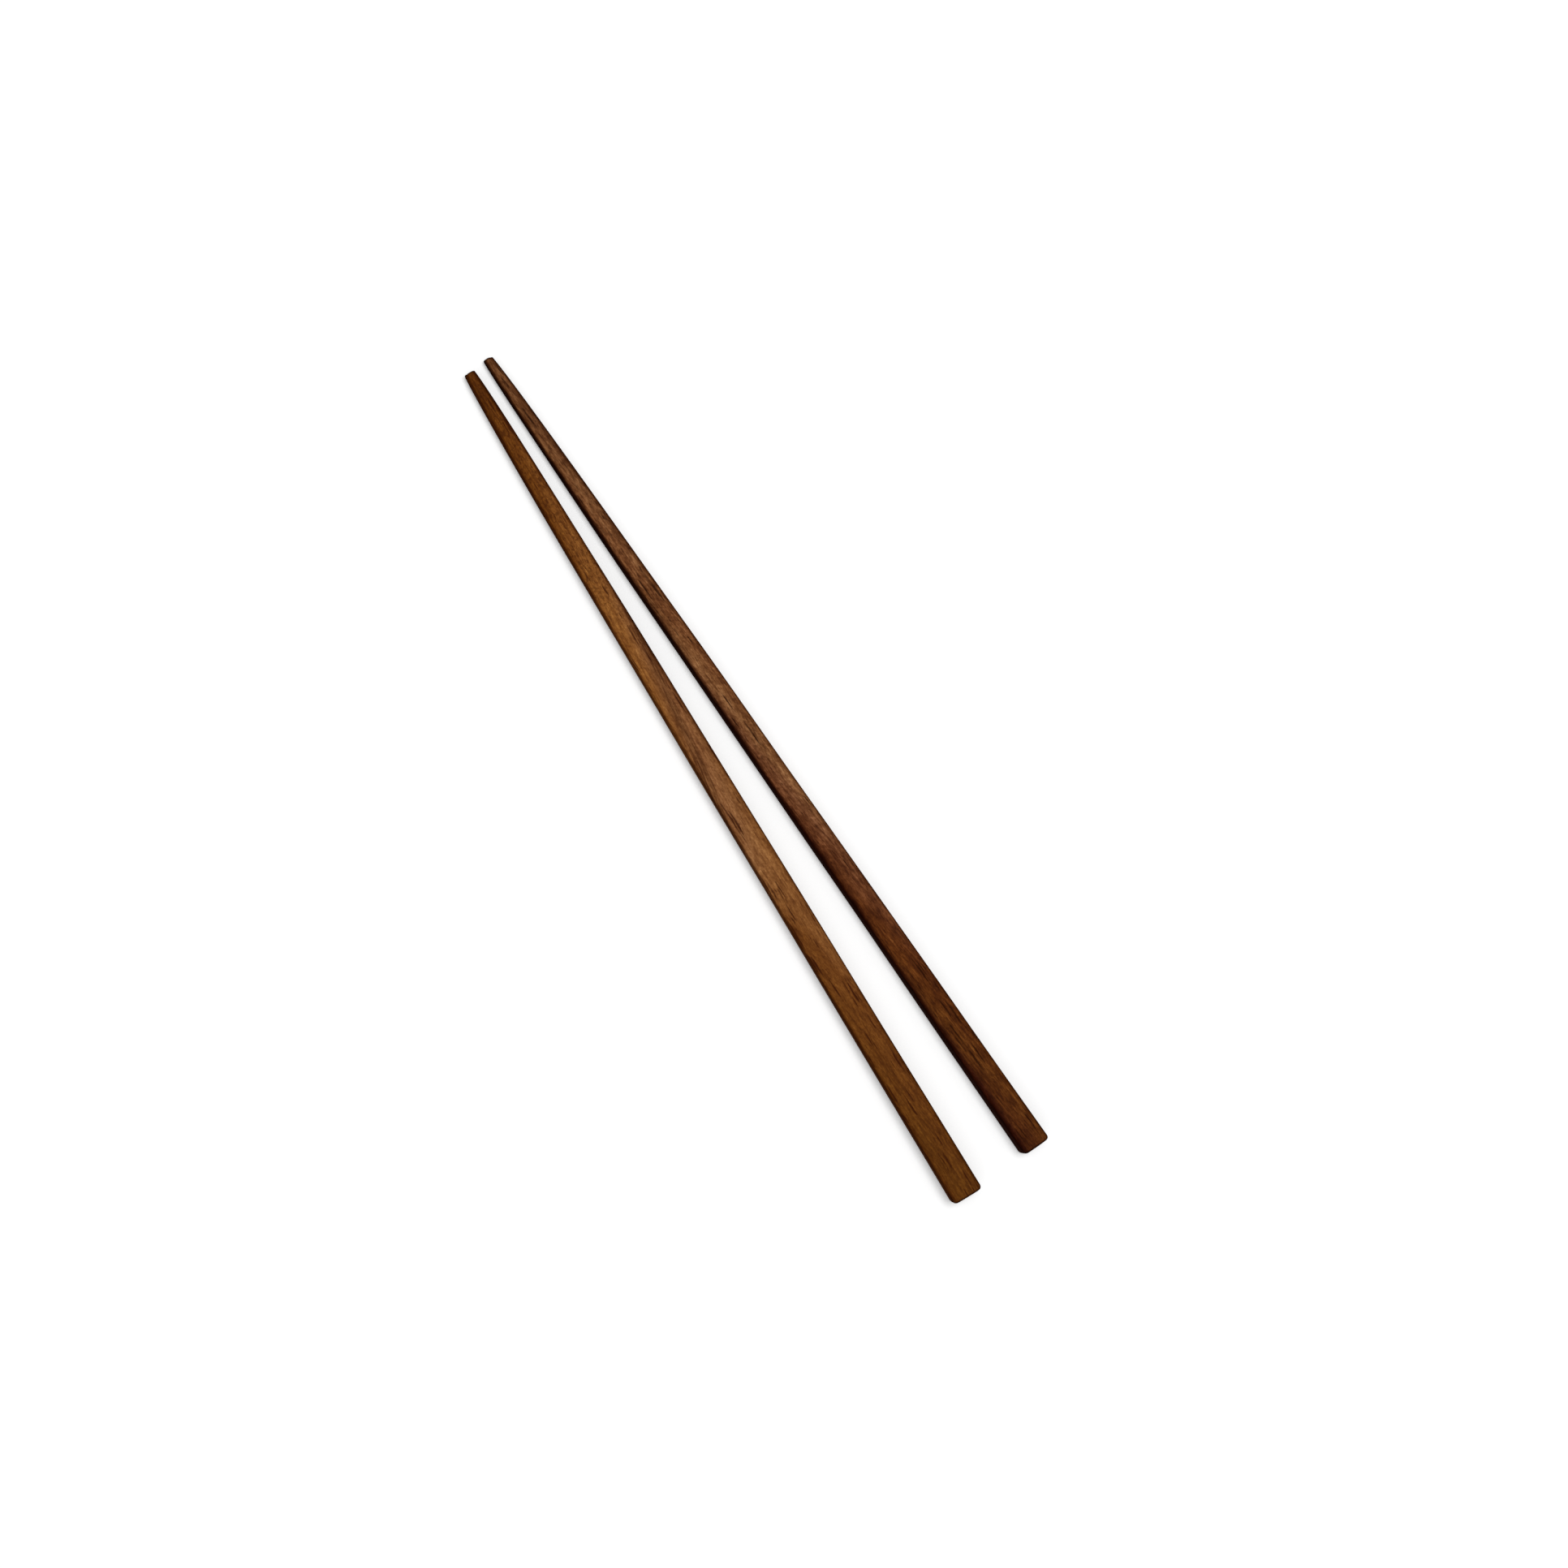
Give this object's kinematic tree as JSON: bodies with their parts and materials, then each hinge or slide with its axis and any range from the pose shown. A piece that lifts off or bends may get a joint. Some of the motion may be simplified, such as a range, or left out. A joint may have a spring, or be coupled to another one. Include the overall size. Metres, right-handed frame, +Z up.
{
  "type": "pair of wooden chopsticks",
  "caption": "Pair of reusable dark wooden chopsticks, square with rounded edges at the butt and tapering in a long curve to a small blunt tip, lying side by side.",
  "frame": {"origin": "on the table under the middle of the pair's bounding box", "axes": "+Y from the butts to the tips along the line midway between the sticks, +X towards the right-hand stick, +Z up from the table"},
  "size_m": [0.028, 0.2306, 0.0078],
  "materials": {
    "left_stick_wood": "oiled satin walnut, golden brown with darker streaks",
    "right_stick_wood": "oiled satin walnut, dark reddish brown with fine pores"
  },
  "bodies": {
    "root": {"left_chopstick": "left_stick_wood", "right_chopstick": "right_stick_wood"}
  },
  "joints": []
}
